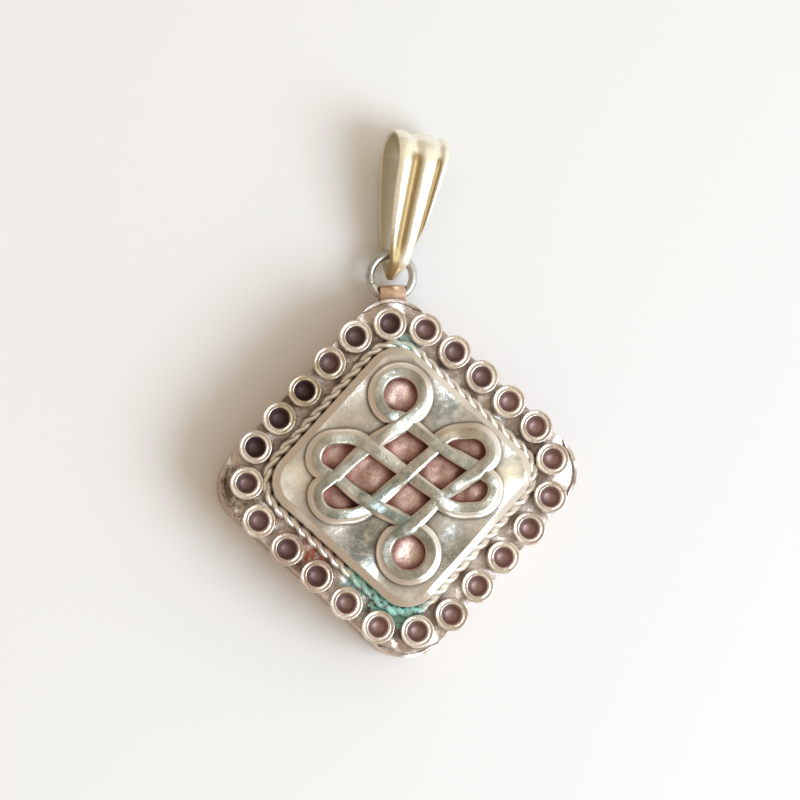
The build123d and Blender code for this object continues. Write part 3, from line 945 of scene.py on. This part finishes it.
lower = tangent(TIP_OUT, TIP_OUT, TIP_TO_EYE, EYE_OUT)
upper = tangent(TIP_TO_EYE, EYE_OUT, TOP_PLACE, TOP_OUT)
front = np.vstack([
    circle(TIP_OUT, TIP_OUT, -np.pi / 2, -lower, 8),
    circle(TIP_TO_EYE, EYE_OUT, -lower, -upper, 12),
    circle(TOP_PLACE, TOP_OUT, -upper, np.pi / 2, 40),
])
half_run = np.concatenate([[0], np.cumsum(np.linalg.norm(np.diff(front, axis=0), axis=1))])
places = np.linspace(0, half_run[-1], 90)
front = np.stack([np.interp(places, half_run, front[:, n]) for n in (0, 1)], -1)
fold = np.vstack([front, front[-2::-1] * (1, -1)])
print("bail fold", round(2 * half_run[-1], 1), "mm tip to tip")

# %% Press the flutes
TIP_HALF, MIDDLE_HALF, TOP_HALF = 0.5, 2.05, 2.75
FLUTE_DEPTH, EDGE_ROUND, FLUTE_WIDENING = 0.34, 0.22, 0.16
FADE_FROM, FADE_OVER = 1.0, 3.0
leaf = np.polyfit((0, BAIL_LENGTH / 2, BAIL_LENGTH), (TIP_HALF, MIDDLE_HALF, TOP_HALF), 2)
half_width = np.polyval(leaf, fold[:, 0])[:, None]
outer = np.sin(np.linspace(-np.pi / 2, np.pi / 2, 48))
from_tip = fold[:, :1]
leaf_share = from_tip / BAIL_LENGTH


def flute(place, drift, width):
    """Distance across the leaf from the middle of a flute, in its own half widths. From the
    tip to the top, the middle drifts sideways and the flute gets wider."""
    middle = place + drift * leaf_share
    return (half_width * outer - middle) / (width + FLUTE_WIDENING * leaf_share)


left_flute, right_flute = flute(-0.15, -0.70, 0.46), flute(1.35, 0.45, 0.20)
hollows = np.exp(-(left_flute**2)) + np.exp(-(right_flute**2))
fade = np.clip((from_tip - FADE_FROM) / FADE_OVER, 0, 1)
press = -FLUTE_DEPTH * hollows * fade - EDGE_ROUND * np.abs(outer) ** 6
print("flutes", round(press.min(), 2), "mm deep at most")

# %% Fold the bail over the ring
LEAN, PITCH, ROLL = np.radians((-13.5, 8.2, 15.0))
TIPS_APART = 0.01
INSIDE_SHARE = 0.96
step = np.gradient(fold, axis=0)
step = step / np.linalg.norm(step, axis=1, keepdims=True)
outwards = np.stack([-step[:, 1], step[:, 0]], -1)
inside = outer[::-1]
# A point is its place on the fold, moved inwards by the press or the sheet's thickness
x = np.hstack([half_width * outer, INSIDE_SHARE * half_width * inside])
thick = np.hstack([press, np.full((len(fold), len(inside)), -SHEET)])
along = from_tip + outwards[:, :1] * thick
height = fold[:, 1:] + outwards[:, 1:] * thick
front_leaf = (np.arange(len(fold)) < len(front))[:, None]
height = np.where(front_leaf, np.maximum(height, TIPS_APART), np.minimum(height, -TIPS_APART))
place = (
    Matrix.Translation(Vector(joints["bail_swing"]["pos_m"]) / MM)
    @ Matrix.Rotation(LEAN, 4, "Z")
    @ Matrix.Rotation(PITCH, 4, "X")
    @ Matrix.Rotation(ROLL, 4, "Y")
    @ Matrix.Translation((0, -TIP_TO_EYE, 0))
)
turn = np.array(place)
grid = np.stack([x, along, height], -1) @ turn[:3, :3].T + turn[:3, 3]
print("bail points", grid.shape[0] * grid.shape[1])

# %% Painted shade in the flutes and a darker tip
DARK_TIP_REACH, BROWN_END, BROWN_LEAST = 5.5, 13.8, 0.15
LEFT_SPREAD = 1.2
# The tip is darker on its left side; the flutes are brown with painted shade up to the fold and faint
# over it
darker_tip = np.clip(1.2 - from_tip / DARK_TIP_REACH, 0, 1) * np.clip(0.6 - 2 * outer, 0, 1)
left_brown = np.exp(-((left_flute / LEFT_SPREAD) ** 2))
brown = np.maximum(left_brown, np.exp(-(right_flute**2))) * fade
brown = brown * np.clip(BROWN_END - from_tip, BROWN_LEAST, 1)
groove = np.hstack([np.maximum(brown, darker_tip), np.zeros((len(fold), len(inside)))])
back = np.hstack([np.zeros_like(hollows), np.ones((len(fold), len(inside)))])
bail = surface("fluted_leaf", grid, caps=True, masks={"groove": groove, "inside": back})
dress(bail, "hanger", "bail", pale_gold)
print("darker share of the bail", round(float(groove.mean()), 2))
